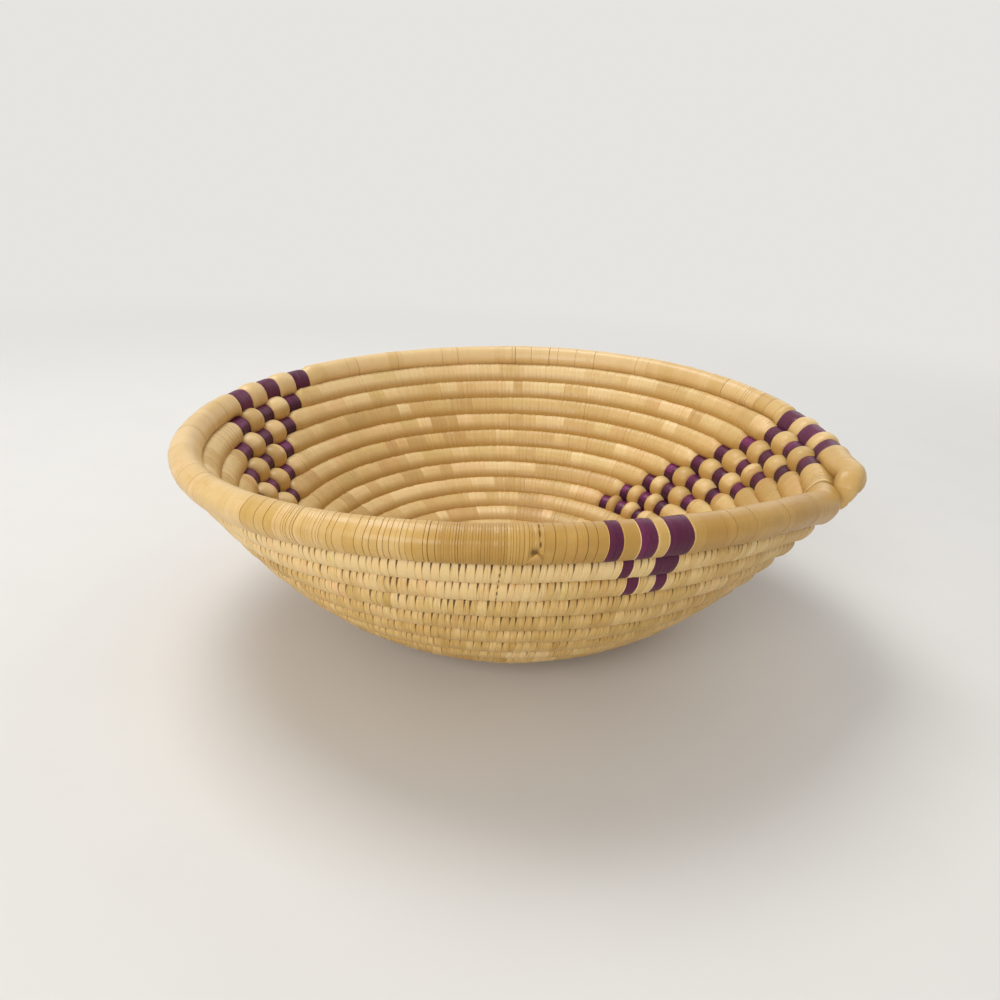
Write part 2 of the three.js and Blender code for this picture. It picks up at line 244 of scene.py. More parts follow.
BACKDROP = colour("#e6e4e0")
# Painted light: the paler, less yellow colour of each row's half that faces into the bowl, for bounced
# light there and bleaching of the straw
INNER_STRAW = colour("#dcc190")
INNER_HALF = (12.5, 14.5)  # where round a row the half that faces into the bowl starts, in mm
INNER_CONTRAST = 0.3  # how much of the fibres' contrast is left there

# Each lamp's name, place and width in metres, and power in watts. All shine at one place.
LAMP_AIM = (0, 0, 0.04)
WORLD_STRENGTH = 0.45
LAMPS = (
    ("overhead_lamp", (-0.4, 0.3, 1.2), 0.6, 8.0),
    ("front_lamp", (-0.55, -1.1, 0.6), 0.7, 8.0),
    ("back_lamp", (0.6, 0.9, 0.8), 0.8, 2.0),
)


class BasketSizes(bpy.types.PropertyGroup):
    """Sizes of the straw work that can be changed"""
    strip_width: bpy.props.FloatProperty(
        name="Strip width", description="Mean width of a wrapped strip of straw on the rows",
        default=0.0021, min=0.0015, max=0.005, unit="LENGTH")
    strip_crown: bpy.props.FloatProperty(
        name="Strip crown", description="Height of a strip's middle over its edges",
        default=0.00008, min=0, max=0.0005, unit="LENGTH")
    gap_depth: bpy.props.FloatProperty(
        name="Gap depth", description="Depth of the gaps between strips at a row's upper edge",
        default=0.00052, min=0, max=0.0015, unit="LENGTH")
    strip_lean: bpy.props.FloatProperty(
        name="Strip lean", description="How far a strip's top leans along the row",
        default=0.0012, min=0, max=0.004, unit="LENGTH")
    fine_width: bpy.props.FloatProperty(
        name="Fine wrap width", description="Width of the fine wraps on the front of the rim",
        default=0.00068, min=0.0003, max=0.002, unit="LENGTH")
    bead_swell: bpy.props.FloatProperty(
        name="Bead swell", description="How far the straw between two dyed wraps swells",
        default=0.0012, min=0, max=0.003, unit="LENGTH")
    dyed_sink: bpy.props.FloatProperty(
        name="Dyed wrap sink", description="How far dyed wraps lie below the straw beside them",
        default=0.0009, min=0, max=0.002, unit="LENGTH")
    wrap_thickness: bpy.props.FloatProperty(
        name="Wrap thickness", description="Thickness of a dyed wrap",
        default=0.0006, min=0.0003, max=0.001, unit="LENGTH")
    floor_reach: bpy.props.FloatProperty(
        name="Floor reach", description="How far the floor runs past the basket",
        default=8 * (CAD_BOX[1] - CAD_BOX[0]).length, min=0.5, max=20, unit="LENGTH")


class BasketColours(bpy.types.PropertyGroup):
    """Colours of the straw work that can be changed"""
    straw: bpy.props.FloatVectorProperty(
        name="Straw", description="Straw strips of the rows", subtype="COLOR", size=3,
        min=0, max=1, default=colour("#d0ab66"))
    rim_straw: bpy.props.FloatVectorProperty(
        name="Rim straw", description="Straw strips of the rim", subtype="COLOR", size=3,
        min=0, max=1, default=colour("#cca45a"))
    dyed: bpy.props.FloatVectorProperty(
        name="Dyed straw", description="Plum dyed strips", subtype="COLOR", size=3,
        min=0, max=1, default=colour("#5a1a3c"))
    floor: bpy.props.FloatVectorProperty(
        name="Floor", description="Floor and backdrop", subtype="COLOR", size=3,
        min=0, max=1, default=colour("#e2e0dc"))


# The route of the coil
def angle_past(angle, other):
    """How far an angle lies past another, from -180 to 180 degrees"""
    return (angle - other + 180) % 360 - 180


def steepness(angle):
    """The wall's slope at an angle round the basket, as a share of its mean slope"""
    past = angle_past(angle, CORNER_ANGLE)
    fade = np.where(past > 0, -past / BEFORE_CORNER, past / AFTER_CORNER)
    lean = LEAN * np.cos((angle - LEAN_ANGLE) * DEGREE)
    saddle = SADDLE * np.cos(2 * angle * DEGREE)
    lobes = LOBES * np.cos(3 * (angle - LOBE_ANGLE) * DEGREE)
    return 1 + lean - saddle + lobes - CORNER * np.exp(fade)


def make_profiles():
    """Radius and height of the wall's middle surface, by angle and by distance along the profile"""
    angles = CORNER_ANGLE + np.arange(360 / PROFILE_ANGLE + 1) * PROFILE_ANGLE
    arcs = np.arange(PROFILE_STEP / 2, PROFILE_LENGTH, PROFILE_STEP)
    bent = np.sin(np.clip((arcs - FOOT_RADIUS) / BEND_LENGTH, 0, 1) * math.pi / 2)
    slope = WALL_SLOPE * DEGREE * steepness(angles)[:, None] * bent
    start = np.zeros((len(angles), 1))
    radius = np.hstack([start, np.cumsum(np.cos(slope), 1) * PROFILE_STEP])
    height = np.hstack([start, np.cumsum(np.sin(slope), 1) * PROFILE_STEP]) + FOOT_HEIGHT
    return np.stack([radius, height], -1)


PROFILES = make_profiles()


def wall_point(arc, angle):
    """The point of the wall's middle surface at a distance along its profile and an angle"""
    row = (angle - CORNER_ANGLE) % 360 / PROFILE_ANGLE
    column = arc / PROFILE_STEP
    i, k = np.floor(row).astype(int), np.floor(column).astype(int)
    a, b = (row - i)[..., None], (column - k)[..., None]
    near = PROFILES[i, k] * (1 - b) + PROFILES[i, k + 1] * b
    far = PROFILES[i + 1, k] * (1 - b) + PROFILES[i + 1, k + 1] * b
    radius, height = np.moveaxis(near * (1 - a) + far * a, -1, 0)
    past = angle_past(angle, CORNER_ANGLE)
    radius = radius - TUCK * np.exp(-((past - TUCK_ANGLE) / TUCK_SPAN) ** 2) * (arc / RIM_ARC) ** 4
    return np.stack([radius * np.cos(angle * DEGREE), radius * np.sin(angle * DEGREE), height], -1)


def angle_at(turn):
    """The coil winds clockwise from the corner, seen from above"""
    return CORNER_ANGLE - 360 * turn


def ahead_at(turn):
    """The level direction in which the coil runs"""
    angle = angle_at(turn) * DEGREE
    return np.stack([np.sin(angle), -np.cos(angle), np.zeros_like(angle)], -1)


def unit(vectors):
    """The vectors at length 1"""
    return vectors / np.linalg.norm(vectors, axis=-1, keepdims=True)


def smooth_share(value):
    """Rises from 0 to 1 as the value does, slowly at both ends"""
    share = np.clip(value, 0, 1)
    return share * share * (3 - 2 * share)


def row_arc(turn):
    """How far along the profile the coil lies after this many turns"""
    return FIRST_ARC + ROW_PITCH * turn


def turn_length(turn):
    """Length of one turn of the coil, from its radius there"""
    turn = np.asarray(turn, float)
    return 2 * math.pi * float(np.hypot(*wall_point(row_arc(turn), angle_at(turn))[..., :2].T))


def turn_at(angle, row):
    """The turn at an angle on the rim, which is row 0, or so many rows below it"""
    return WALL_TURNS + (CORNER_ANGLE - angle) % 360 / 360 - row


def off_station(turn):
    """A turn moved clear of the frame's stations, as a wrap's edges are in the frame"""
    station = round(turn / STEP) * STEP
    room = STATION_ROOM / turn_length(turn)
    if abs(turn - station) > room:
        return turn
    return station - room if turn < station else station + room


def wraps_of_group(side, angles, widths=None):
    """The dyed wraps of a group, from their middle angles row by row and their widths in degrees"""
    wraps = []
    for row, row_of_angles in enumerate(angles):
        for index, angle in enumerate(row_of_angles):
            width = widths[row][index] if widths else WRAP_WIDTH - WIDTH_LOSS * row
            place = "rim" if row == 0 else f"row_{row}"
            wraps.append({
                "name": f"dyed_wrap_{side}_{place}_{index + 1}",
                "side": side,
                "row": row,
                "start": off_station(turn_at(angle + width / 2, row)),
                "end": off_station(turn_at(angle - width / 2, row)),
            })
    return wraps


WRAPS = (wraps_of_group("right", RIGHT_GROUP) + wraps_of_group("left", LEFT_GROUP)
         + wraps_of_group("front", FRONT_GROUP, FRONT_WIDTHS))
RIM_LENGTH = turn_length(WALL_TURNS)
JOINT_TURN = WALL_TURNS - START_RUN / RIM_LENGTH


class Route:
    """A coil's centre line as dense samples, and the places round it"""

    def __init__(self, turns, centres, ups, widths, thicknesses):
        steps = np.linalg.norm(np.diff(centres, axis=0), axis=1)
        self.turns = turns
        self.lengths = np.concatenate([[0], np.cumsum(steps)])
        along = unit(np.gradient(centres, self.lengths, axis=0))
        ups = unit(ups - along * np.sum(ups * along, 1, keepdims=True))
        self.samples = np.hstack([centres, ups, np.cross(ups, along), widths[:, None] / 2,
                                  thicknesses[:, None] / 2])

    def length_at(self, turn):
        """Length along the coil to a turn"""
        return np.interp(turn, self.turns, self.lengths)

    def length_to(self, angle, row):
        """Length along the coil to an angle on the rim, which is row 0, or so many rows below it"""
        return float(self.length_at(turn_at(angle, row)))

    def points(self, length, around, lift, fullness, spare):
        """Points of the surface. around is the angle from the row's top over its outside, lift the
        distance out from the mean surface, fullness 2 for a round section and more for a squarer one,
        spare the extra half-width into the rows above and below."""
        place = np.stack([np.interp(length, self.lengths, c) for c in self.samples.T], -1)
        centre, up, out = place[..., :3], place[..., 3:6], place[..., 6:9]
        half_width, half_thickness = place[..., 9], place[..., 10]
        c, s = np.cos(around), np.sin(around)
        across = np.sign(c) * np.abs(c) ** (2 / fullness) * (half_width + spare)
        through = np.sign(s) * np.abs(s) ** (2 / fullness) * half_thickness
        across = across + c * lift
        through = through + s * lift
        points = centre + up * across[..., None] + out * through[..., None]
        points[..., 2] = np.maximum(points[..., 2], 0)
        return points


def wall_route():
    """The wall's coil, a little fuller than in the frame so that its rows touch"""
    turns = np.linspace(0, JOINT_TURN, int(JOINT_TURN * WALL_SAMPLES) + 2)
    arcs = row_arc(turns)
    centres = wall_point(arcs, angle_at(turns))
    ups = wall_point(arcs + 1, angle_at(turns)) - wall_point(np.maximum(arcs - 1, 0), angle_at(turns))
    width = np.full_like(turns, ROW_PITCH + WALL_FILL[0])
    return Route(turns, centres, unit(ups), width, np.full_like(turns, COIL_THICKNESS + WALL_FILL[1]))


def knot_route():
    """The first tight turns, where the bundle thins towards the pole of the spiral"""
    turns = np.linspace(KNOT_TURNS[0], 0, KNOT_SAMPLES)
    width = np.interp(turns, KNOT_TURNS, KNOT_WIDTHS)
    width_outside = np.interp(turns + 1, KNOT_TURNS, KNOT_WIDTHS)
    inner_edge = FIRST_ARC - ROW_PITCH / 2
    outer = np.where(turns > -1, inner_edge + ROW_PITCH * (turns + 1),
                     inner_edge + ROW_PITCH * (turns + 2) - width_outside)
    arcs = np.maximum(outer - width / 2, KNOT_POLE)
    thickness = np.interp(turns, KNOT_TURNS[::2], KNOT_THICKNESSES)
    angles = angle_at(turns) * DEGREE
    ups = np.stack([np.cos(angles), np.sin(angles), np.zeros_like(angles)], -1)
    centres = ups * arcs[:, None]
    centres[:, 2] = FOOT_HEIGHT - (COIL_THICKNESS - thickness) / 2 * 0.5
    return Route(turns, centres, ups, width + WALL_FILL[0], thickness)


def rim_place(turn):
    """The rim's middle, its upward direction and its width. It lies on the row below, and rolls
    outwards towards the corner."""
    arc, angle = np.array(row_arc(turn - 1)), np.array(angle_at(turn - 1))
    below_up = unit(wall_point(arc + 1, angle) - wall_point(arc - 1, angle))
    roll = CORNER_ROLL * float(smooth_share(1 + (turn - WALL_TURNS - 1) * 360 / ROLL_SPAN))
    roll += BEAD_ROLL * float(smooth_share(1 + (turn - BEAD_ROLL_TURN) * 360 / BEAD_ROLL_SPAN))
    roll *= DEGREE
    room = (COIL_WIDTH + RIM_WIDTH) / 2 + ROW_GAP + ROLL_ROOM * math.sin(roll)
    out = unit(np.cross(below_up, ahead_at(np.array(float(turn)))))
    up = unit(below_up * math.cos(roll) + out * math.sin(roll))
    return np.concatenate([wall_point(arc, angle) + up * room, up, [RIM_WIDTH]])


def rim_route():
    """The rim's coil: on the row below for most of its turn, then over the corner by its stations"""
    turns = list(np.linspace(JOINT_TURN, TAIL_START, RIM_SAMPLES))
    places = [rim_place(turn) for turn in turns]
    corner_turns = [TAIL_START - TAIL_LEAD, TAIL_START]
    corner = [rim_place(turn) for turn in corner_turns]
    for angle, radius, height, size, tip in TAIL_STATIONS:
        out = np.array([math.cos(angle * DEGREE), math.sin(angle * DEGREE), 0])
        up = out * math.cos(tip * DEGREE) + np.array([0, 0, math.sin(tip * DEGREE)])
        corner_turns.append(WALL_TURNS + 1 + (CORNER_ANGLE - angle) / 360)
        corner.append(np.concatenate([out * radius + np.array([0, 0, height]), up, [RIM_WIDTH * size]]))
    dense_turns, dense = spline(np.array(corner_turns), np.array(corner), TAIL_SAMPLES)
    table = np.array(places + list(dense))
    width = table[:, 6]
    return Route(np.array(turns + list(dense_turns)), table[:, :3], unit(table[:, 3:6]), width + RIM_FILL,
                 width * RIM_THICKNESS / RIM_WIDTH)


def spline(keys, values, steps):
    """Points along a smooth curve from the second value to the last, and their keys"""
    gaps = np.linalg.norm(np.diff(values[:, :3], axis=0), axis=1)
    spans = np.concatenate([[0], np.cumsum(gaps ** 0.5)])
    slopes = np.gradient(values, spans, axis=0)
    out_keys, out = [], []
    for i in range(1, len(keys) - 1):
        span = spans[i + 1] - spans[i]
        for share in np.arange(1, steps + 1) / steps:
            s2, s3 = share ** 2, share ** 3
            out.append((2 * s3 - 3 * s2 + 1) * values[i] + (s3 - 2 * s2 + share) * span * slopes[i]
                       + (3 * s2 - 2 * s3) * values[i + 1] + (s3 - s2) * span * slopes[i + 1])
            out_keys.append(keys[i] + (keys[i + 1] - keys[i]) * share)
    return np.array(out_keys), np.array(out)


# The straw on a coil
def strip_bounds(start, end, width, rng, spread=0.15):
    """Edges of strips of about this width that fill a stretch of coil"""
    count = max(1, round((end - start) / width))
    shares = np.exp(spread * rng.standard_normal(count).clip(-2, 2))
    return start + (end - start) * np.concatenate([[0], np.cumsum(shares) / shares.sum()])


def tone_blocks(length, rng):
    """Lengths of one splint of straw each, with its tone and warmth"""
    edges = np.cumsum(rng.uniform(*SPLINT_LENGTHS, int(length / SPLINT_LENGTHS[0]) + 2))
    tones = rng.normal(0.5, 0.19, len(edges)).clip(0.05, 0.98)
    warmth = rng.normal(0.5, 0.15, len(edges)).clip(0.02, 0.98)
    return edges, tones, warmth


def make_mesh(name, rings, lengths, tints, crisp, looped=False):
    """A closed body through rings of points in mm. Its UV map is in mm, along the coil and round it, and
    its weave attribute holds each point's tone, warmth, painted shade with the core's brown in gaps, and
    the crease's ochre stain with painted shade. crisp names the rings that are sharp edges."""
    count, sides = rings.shape[:2]
    spans = count if looped else count - 1
    i, j = np.meshgrid(np.arange(spans), np.arange(sides), indexing="ij")
    after, beside = (i + 1) % count, (j + 1) % sides
    corners = np.stack([i * sides + j, after * sides + j, after * sides + beside, i * sides + beside], -1)
    corners = corners.reshape(-1, 4)
    across = np.stack([j, j, j + 1, j + 1], -1).reshape(-1, 4) / sides * GIRTH
    along = lengths.reshape(-1)[corners]
    points = rings.reshape(-1, 3)
    a, b, c, d = (points[corners[:, k]] for k in range(4))
    volume = np.sum(a * np.cross(b, c)) + np.sum(a * np.cross(c, d))
    if volume < 0:
        corners, along, across = corners[:, ::-1], along[:, ::-1], across[:, ::-1]
    loops, starts = corners.reshape(-1), np.arange(len(corners)) * 4
    uvs = np.stack([along.reshape(-1), across.reshape(-1)], -1)
    smooth = np.ones(len(corners), bool)
    if not looped:
        first, last = np.arange(sides), np.arange(sides) + (count - 1) * sides
        caps = [first, last[::-1]] if volume >= 0 else [first[::-1], last]
        loops = np.concatenate([loops, *caps])
        starts = np.concatenate([starts, [len(corners) * 4, len(corners) * 4 + sides]])
        uvs = np.concatenate([uvs, np.zeros((2 * sides, 2))])
        smooth = np.concatenate([smooth, [False, False]])
    mesh = bpy.data.meshes.new(name)
    mesh.vertices.add(len(points))
    mesh.vertices.foreach_set("co", (points * MM).astype(np.float32).ravel())
    mesh.loops.add(len(loops))
    mesh.loops.foreach_set("vertex_index", loops.astype(np.int32))
    mesh.polygons.add(len(starts))
    mesh.polygons.foreach_set("loop_start", starts.astype(np.int32))
    mesh.polygons.foreach_set("use_smooth", smooth)
    mesh.update(calc_edges=True)
    mesh.validate()
    ends = np.empty(len(mesh.edges) * 2, np.int32)
    mesh.edges.foreach_get("vertices", ends)
    ring_of = ends.reshape(-1, 2) // sides
    sharp = mesh.attributes.new("sharp_edge", "BOOLEAN", "EDGE")
    sharp.data.foreach_set("value", (ring_of[:, 0] == ring_of[:, 1]) & crisp[ring_of[:, 0]])
    layer = mesh.uv_layers.new(name="straw")
    layer.data.foreach_set("uv", uvs.astype(np.float32).ravel())
    weave = mesh.attributes.new("weave", "FLOAT_COLOR", "POINT")
    weave.data.foreach_set("color", tints.reshape(-1, 4).astype(np.float32).ravel())
    piece = bpy.data.objects.new(name, mesh)
    bpy.context.scene.collection.objects.link(piece)
    return piece


def dress(piece, material, slot, *nodes):
    """Gives a piece its material and ties it to the frame"""
    piece.data.materials.append(material)
    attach(piece, "root")
    if nodes:
        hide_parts(*nodes)


def degrees_round(around):
    """An angle round the section in degrees: 0 at the row's top and 90 at its outside"""
    return np.degrees(around) % 360


def by_angle(around, *stops):
    """A value that changes round the section, from (degrees, value) stops"""
    return np.interp(degrees_round(around), *zip(*stops))


def gap_shape(around):
    """How far the gaps between strips open: wide at the outside's upper edge, closed lower down"""
    return by_angle(around, (0, 0.6), (12, 1), (28, 1), (48, 0.62), (66, 0.28), (84, 0.1), (120, 0.04),
                    (180, 0), (215, 0.03), (320, 0.04), (345, 0.1), (360, 0.6))


def even_gap(around):
    """A gap that is the same all round a row but where it touches the row below"""
    return by_angle(around, (0, 0.5), (140, 0.5), (170, 0), (190, 0), (220, 0.5), (360, 0.5))


def lean_share(around):
    """A strip leans most at the row's top and not at its foot"""
    return by_angle(around, (0, -1), (180, 0), (360, -1))


def wear(around, on_rim):
    """Ochre stain of the crease between rows, with painted shade where the rows meet. Inside the bowl it
    reaches far up each row, as painted shade on the lower part that faces down.
    """
    if on_rim:
        return by_angle(around, (120, 0), (165, 0.8), (195, 0.8), (240, 0))
    return by_angle(around, (0, 0.9), (14, 0.5), (30, 0), (150, 0), (172, 0.8), (190, 1), (240, 0.9),
                    (256, 0.6), (268, 0), (335, 0), (348, 0.4), (360, 0.9))


def free_share(around, on_rim):
    """0 where a row touches its neighbours and 1 on its free sides"""
    angle = degrees_round(around)
    off = np.abs(angle - 180)
    if not on_rim:
        off = np.minimum(off, np.minimum(angle, 360 - angle))
    return smooth_share((off - 6) / 30)


def bleached(route, rows, table):
    """How much paler than its mean the straw is along a route, from a table of angles and tones. On
    the wall it fades out over so many rows below the rim."""
    def tone(length):
        turns = np.interp(length, route.lengths, route.turns)
        share = smooth_share((turns - WALL_TURNS + rows) / rows) if rows else 1
        return share * np.interp(angle_at(turns) % 360, *zip(*table))

    return tone


def sway(length, rng):
    """A slow waver of hand-made work"""
    waves = sum(np.sin(2 * math.pi * length / period + rng.uniform(0, 6.3)) for period in SWAY_PERIODS)
    return SWAY * waves / 2


class StrawRun:
    """Collects the rings of one coil, strip by strip, before they are made into pieces"""

    def __init__(self, route, rng, sides, settings, on_rim, lean, bleach, round_zones=(), extra=None):
        self.route, self.rng, self.settings, self.on_rim = route, rng, settings, on_rim
        self.lean, self.bleach, self.round_zones, self.extra = lean, bleach, round_zones, extra
        self.scars = []
        self.around = np.arange(sides) / sides * 2 * math.pi
        if on_rim:
            # Among the beads the rim is round, and reaches down to the row below it
            lower = np.cos(self.around) < 0
            self.fullness, self.spare, self.round_spare = np.full(sides, 2.45), 0.2 * lower, 1.4 * lower
        else:
            self.round_spare = np.zeros(sides)
            self.fullness = np.where(self.around > math.pi, 2.7, 2.5)
            self.spare = INSIDE_LAP * by_angle(self.around, (0, 1), (14, 0), (166, 0), (180, 1))
        self.wear = wear(self.around, on_rim)
        # A neck fades out where a row touches its neighbours, but a row's bead bulges all round
        if on_rim:
            self.swells = self.bulges = smooth_share((np.abs(degrees_round(self.around) - 180) - 8) / 45)
        else:
            out = np.sin(self.around)
            self.swells = np.abs(out) ** 0.8 * np.where(out > 0, 0.6, 1)
            self.bulges = np.where(out > 0.1, 0.6, 1)
        self.free = free_share(self.around, on_rim)
        # How strongly the tones of strips and of splints show round the section
        self.jitter_share = by_angle(self.around, (0, 1), (180, 1), (200, 0.15), (340, 0.15), (360, 1))
        self.block_share = np.full(sides, 0.6) if on_rim else by_angle(
            self.around, (0, 0.6), (180, 0.6), (200, 0.4), (250, 0.5), (275, 1.7), (345, 1.7), (360, 0.6))
        self.lengths, self.lifts, self.tints, self.crisp = [], [], [], []
        self.blocks = tone_blocks(route.lengths[-1], rng)

    def add(self, length, mid, lift, tone, warmth, dark, crisp):
        """Rings at these lengths. mid is each ring's own length, which picks its splint's tone."""
        edges, tones, warmths = self.blocks
        block = np.searchsorted(edges, mid)
        shape = (len(mid), len(self.around))
        self.lengths.append(np.broadcast_to(length, shape))
        self.lifts.append(np.broadcast_to(lift, shape))
        self.crisp.append(np.broadcast_to(crisp, len(mid)))
        share, blocks = self.jitter_share[None, :], self.block_share[None, :]
        tones = 0.5 + (tones[block] - 0.5)[:, None] * blocks + self.bleach(mid)[:, None]
        warmths = 0.5 + (warmths[block] - 0.5)[:, None] * blocks
        tones, warmths = tones + tone[:, None] * share, warmths + warmth[:, None] * share
        self.tints.append(np.stack(np.broadcast_arrays(tones, warmths, dark, self.wear[None, :]), -1))

    def strips(self, bounds, depths, shape, swell=None, width=0.5, crown=None, uneven=0.05, jitter=0.06,
               tone=0.0, lip=0.07):
        """Strips side by side between these bounds in mm. depths is how far the gap at each bound
        opens, shape its share round the row, the same for all gaps or a line for each, swell extra
        lift along the row, width a full gap's width, lip how near a strip's edge its rounding is."""
        settings, rng = self.settings, self.rng
        crown = settings.strip_crown / MM if crown is None else crown
        widths = np.diff(bounds)
        count = len(widths)
        opened = depths[:, None] * shape
        most = np.minimum(np.append(widths, 9), np.insert(widths, 0, 9))[:, None]
        half = np.minimum(width / 2 * opened + LEAST_GAP, 0.3 * most)
        floor = -np.minimum(settings.gap_depth / MM * opened, 0.35 * most) - LEAST_GAP
        # Painted shade: a gap is darkened as far as it opens, with some brown of the bundle's core showing
        # there
        dark = np.clip(opened * 1.3, 0, 0.85)
        height, tilt = rng.normal(0, uneven, (2, count, 1))
        start, end = bounds[:-1, None], bounds[1:, None]
        before, after = start + half[:-1], end - half[1:]
        length = np.stack([before, before + lip, (before + after) / 2, after - lip, after], 1)
        lift = np.stack(np.broadcast_arrays(
            floor[:-1], height - tilt, height + crown, height + tilt, floor[1:]), 1)
        darks = np.stack(np.broadcast_arrays(dark[:-1], 0, 0, 0, dark[1:]), 1)
        sides = len(self.around)
        length, lift, darks = (grid.reshape(-1, sides) for grid in (length, lift, darks))
        lift = lift * (0.25 + 0.75 * self.free[None, :])
        mid = length.mean(1)
        if swell is not None:
            lift = lift + swell(mid)[:, None] * self.swells[None, :]
        tones = np.repeat(rng.normal(tone, jitter, count), 5)
        warmths = np.repeat(rng.normal(0, jitter * 1.6, count), 5)
        self.add(length, np.repeat((bounds[:-1] + bounds[1:]) / 2, 5), lift, tones, warmths, darks,
                 np.tile([False, True, False, True, False], count))

    def plain(self, lengths, lift, dark=0.0, tone=0.0):
        """Rings with no strips of their own, such as a neck under a wrap"""
        lengths = np.asarray(lengths, float)
        lift = np.asarray(lift, float).reshape(-1, 1)
        lift = np.minimum(lift, 0) * self.swells + np.maximum(lift, 0) * self.bulges
        tone = np.broadcast_to(tone, len(lengths))
        self.add(lengths[:, None], lengths, lift, tone, tone * 0, np.full_like(lift, dark), False)

    def bead(self, start, end, stop=0.5):
        """A bead of straw between two dyed wraps: full in its middle, drawn in at its ends. A stop
        below 0.5 leaves off its last part."""
        off = np.sin(np.linspace(-0.5, stop, BEAD_RINGS) * math.pi)
        lengths = (start + end) / 2 + off * (end - start) / 2
        swell, tuck = self.settings.bead_swell / MM, BEAD_TUCK
        if self.on_rim:
            # The rim's beads are flatter
            swell, tuck = 0.3 * swell, 0.7 * tuck
        lift = (swell + tuck) * (1 - np.abs(off) ** 2.3) ** 0.5 - tuck
        tones = self.rng.normal(0.47, 0.06, 8)
        self.plain(lengths, lift, 0.0, tones[((lengths - start) / 2.4).astype(int)])

    def rings(self):
        """All the rings so far: points, lengths, tints, and which of them are sharp edges. A scar is
        (middle, half, top, bottom, depth, dashes): a slit across the strips, from angle to angle."""
        lengths, lifts = np.concatenate(self.lengths), np.concatenate(self.lifts)
        middles = lengths.mean(1)
        roundness = np.zeros(len(middles))
        for start, end in self.round_zones:
            off = np.maximum(start - middles, middles - end)
            roundness = np.maximum(roundness, smooth_share(1 - off / ROUND_FADE))
        fullness = self.fullness[None, :] + (2.0 - self.fullness[None, :]) * roundness[:, None]
        lifts = lifts + sway(lengths, self.rng)
        if self.extra is not None:
            lifts = lifts + self.extra(middles, self.around)
        around = np.broadcast_to(self.around[None, :], lengths.shape)
        lengths = lengths + self.lean(middles)[:, None] * lean_share(self.around)[None, :]
        lengths = np.clip(lengths, self.route.lengths[0], self.route.lengths[-1])
        tints = np.concatenate(self.tints)
        for middle, half, top, bottom, depth, dashes in self.scars:
            angle = (degrees_round(around) - top) % 360
            share = np.clip(1.5 - np.abs(lengths - middle) / half, 0, 1) * (angle <= bottom - top)
            share = share * (1 - dashes * (np.sin(angle * 0.5) > 0.4))
            lifts = lifts - depth * share
            # Painted shade in the slit and the hole
            tints[..., 2] = np.maximum(tints[..., 2], share * 0.9)
        spare = self.spare + (self.round_spare - self.spare) * roundness[:, None]
        points = self.route.points(lengths, around, lifts, fullness, spare)
        return points, lengths, tints, np.concatenate(self.crisp)


def is_front(wrap):
    """Whether there is a wrap and it belongs to the front group"""
    return wrap is not None and wrap["side"] == "front"


def wraps_on(route, rows, first, last):
    """Dyed wraps of these rows as (start, end, wrap) in mm along the route, in order"""
    found = []
    for wrap in WRAPS:
        if wrap["row"] in rows and first <= wrap["start"] <= last:
            laps = (FRONT_WRAP_LAP, 0) if is_front(wrap) else (SIDE_WRAP_LAP, SIDE_WRAP_LAP)
            start, end = (float(route.length_at(wrap[key])) for key in ("start", "end"))
            found.append((start + laps[0], end - laps[1], wrap))
    return sorted(found, key=lambda item: item[0])


def round_zones(wraps):
    """Stretches of coil, from the first to the last dyed wrap of each side group, that are round"""
    zones = []
    for start, end, wrap in wraps:
        if is_front(wrap):
            continue
        if zones and start - zones[-1][1] < BEAD_LIMIT:
            zones[-1] = (zones[-1][0], end)
        else:
            zones.append((start, end))
    return zones


def wall_lean(settings, zones):
    """Lean of the strips along the wall in mm: nearly upright among the beads"""
    def lean(length):
        near = np.zeros_like(length)
        for start, end in zones:
            off = np.maximum(start - length, length - end)
            near = np.maximum(near, smooth_share(1 - off / LEAN_FADE))
        return settings.strip_lean / MM * (1 - near * UPRIGHT)

    return lean


def rim_lean(route):
    """Lean of the wraps along the rim in mm, by angle"""
    def lean(length):
        angle = angle_at(np.interp(length, route.lengths, route.turns) - WALL_TURNS)
        return np.interp(-angle, *zip(*RIM_LEAN))

    return lean


def pinch_ends(start, end, before, after):
    """Lift of a stretch of straw that is drawn in beside a dyed wrap, less so at the front"""
    def lift(length):
        fall = np.zeros_like(length)
        for wrap, off in ((before, length - start), (after, end - length)):
            if wrap is not None:
                reach, depth = FRONT_PINCH if is_front(wrap) else SIDE_PINCH
                fall = np.maximum(fall, depth * (1 - (1 - np.clip(1 - off / reach, 0, 1) ** 2) ** 0.5))
        return -fall

    return lift


def gap_depths(bounds, rng, mean, spread=0.45):
    """How far the gap at each bound opens, about the mean"""
    return mean * rng.lognormal(0, spread, len(bounds)).clip(0.2, 1.8)


def wind_straw(run, wraps, start, end, dress_stretch):
    """Straw from start to end, drawn in to a neck under each wrap"""
    place = start
    before = None
    for wrap_start, wrap_end, wrap in wraps + [(end, end, None)]:
        bead = before is not None and wrap is not None and wrap_start - place < BEAD_LIMIT
        dress_stretch(place, wrap_start, before, wrap, bead)
        if wrap is not None:
            inner = np.linspace(wrap_start + NECK_CLEARANCE, wrap_end - NECK_CLEARANCE, 5)
            # The neck under a wrap is painted fully in shade
            run.plain(inner, np.full(5, -NECK_DEPTH), 1.0)
        place, before = wrap_end, wrap


def cut_pieces(name, points, lengths, tints, crisp, count):
    """Cuts a coil's rings into pieces of like size, each closed"""
    edges = np.linspace(0, len(points) - 1, count + 1).astype(int)
    for k in range(count):
        part = slice(edges[k], edges[k + 1] + 1)
        shift = lengths[edges[k]].min()
        yield make_mesh(f"{name}_{k + 1}" if count > 1 else name, points[part], lengths[part] - shift,
                        tints[part], crisp[part])


